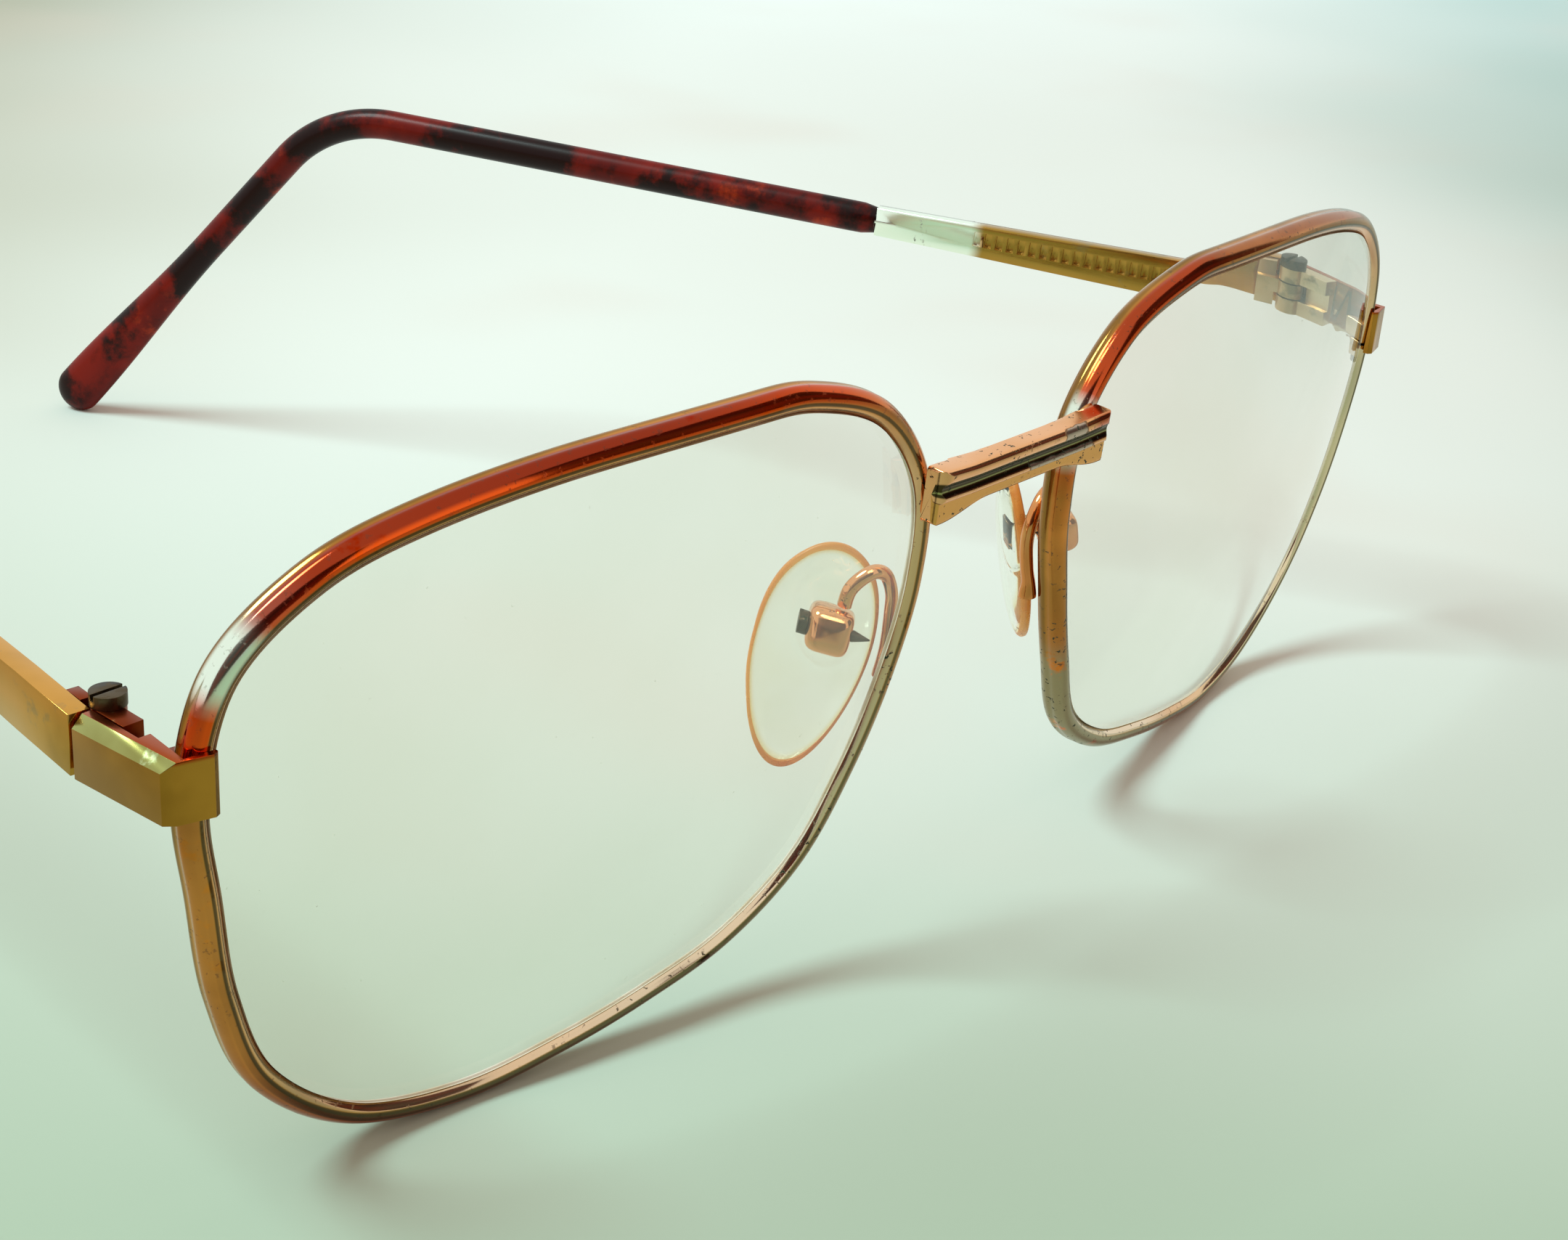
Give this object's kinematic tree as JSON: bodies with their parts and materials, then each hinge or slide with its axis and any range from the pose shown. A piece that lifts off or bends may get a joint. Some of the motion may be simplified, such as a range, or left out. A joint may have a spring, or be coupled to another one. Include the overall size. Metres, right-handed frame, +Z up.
{
  "type": "eyeglasses",
  "caption": "Worn full-rim metal eyeglasses with folding temples, plastic ear tips and adjustable clear nose pads.",
  "frame": {"origin": "middle of the bounding box's underside, on the table the eyeglasses lie open on", "axes": "+X is the wearer's left, +Y runs back along the temples, +Z is up"},
  "size_m": [0.1294, 0.1424, 0.0456],
  "materials": {
    "bridge_plate": "worn pink gold plating over a copper alloy, grey where worn through",
    "rim_plate": "worn gold plating with corrosion specks",
    "end_plate": "dull gold plating",
    "temple_plate": "gold plating, polished towards the ear tip",
    "hinge_metal": "tarnished",
    "arm_wire": "polished, pinkish",
    "screw_steel": "darkened",
    "tortoise": "dark red-brown tortoiseshell",
    "pad_clear": "clear, yellowed at the rim",
    "lens": "clear"
  },
  "bodies": {
    "front": {"bridge": "bridge_plate", "left_eyewire": "rim_plate", "right_eyewire": "rim_plate", "left_lens": "lens", "right_lens": "lens", "left_end_piece": "end_plate", "right_end_piece": "end_plate", "left_upper_block": "hinge_metal", "right_upper_block": "hinge_metal", "left_lower_block": "hinge_metal", "right_lower_block": "hinge_metal", "left_rim_screw": "screw_steel", "right_rim_screw": "screw_steel", "left_front_hinge": "hinge_metal", "right_front_hinge": "hinge_metal", "left_hinge_screw": "screw_steel", "right_hinge_screw": "screw_steel", "left_pad_arm": "arm_wire", "right_pad_arm": "arm_wire", "left_pad_box": "arm_wire", "right_pad_box": "arm_wire", "left_pad_screw": "screw_steel", "right_pad_screw": "screw_steel"},
    "left_temple": {"left_temple_hinge": "hinge_metal", "left_temple_bar": "temple_plate", "left_ear_tip": "tortoise"},
    "right_temple": {"right_temple_hinge": "hinge_metal", "right_temple_bar": "temple_plate", "right_ear_tip": "tortoise"},
    "left_pad": {"left_nose_pad": "pad_clear"},
    "right_pad": {"right_nose_pad": "pad_clear"}
  },
  "joints": [
    {"name": "left_temple_fold", "type": "hinge", "parent": "front", "child": "left_temple", "pos_m": [0.06229, -0.05527, 0.03038], "axis": [0, 0, 1], "range_deg": [-26, 64]},
    {"name": "right_temple_fold", "type": "hinge", "parent": "front", "child": "right_temple", "pos_m": [-0.06229, -0.05527, 0.03038], "axis": [0, 0, -1], "range_deg": [-5, 75]},
    {"name": "left_pad_rock", "type": "hinge", "parent": "front", "child": "left_pad", "pos_m": [0.0135, -0.06423, 0.02539], "axis": [0.6107, 0.7705, 0.1824], "range_deg": [-10, 10]},
    {"name": "right_pad_rock", "type": "hinge", "parent": "front", "child": "right_pad", "pos_m": [-0.0135, -0.06423, 0.02539], "axis": [0.6107, -0.7705, -0.1824], "range_deg": [-10, 10]}
  ]
}
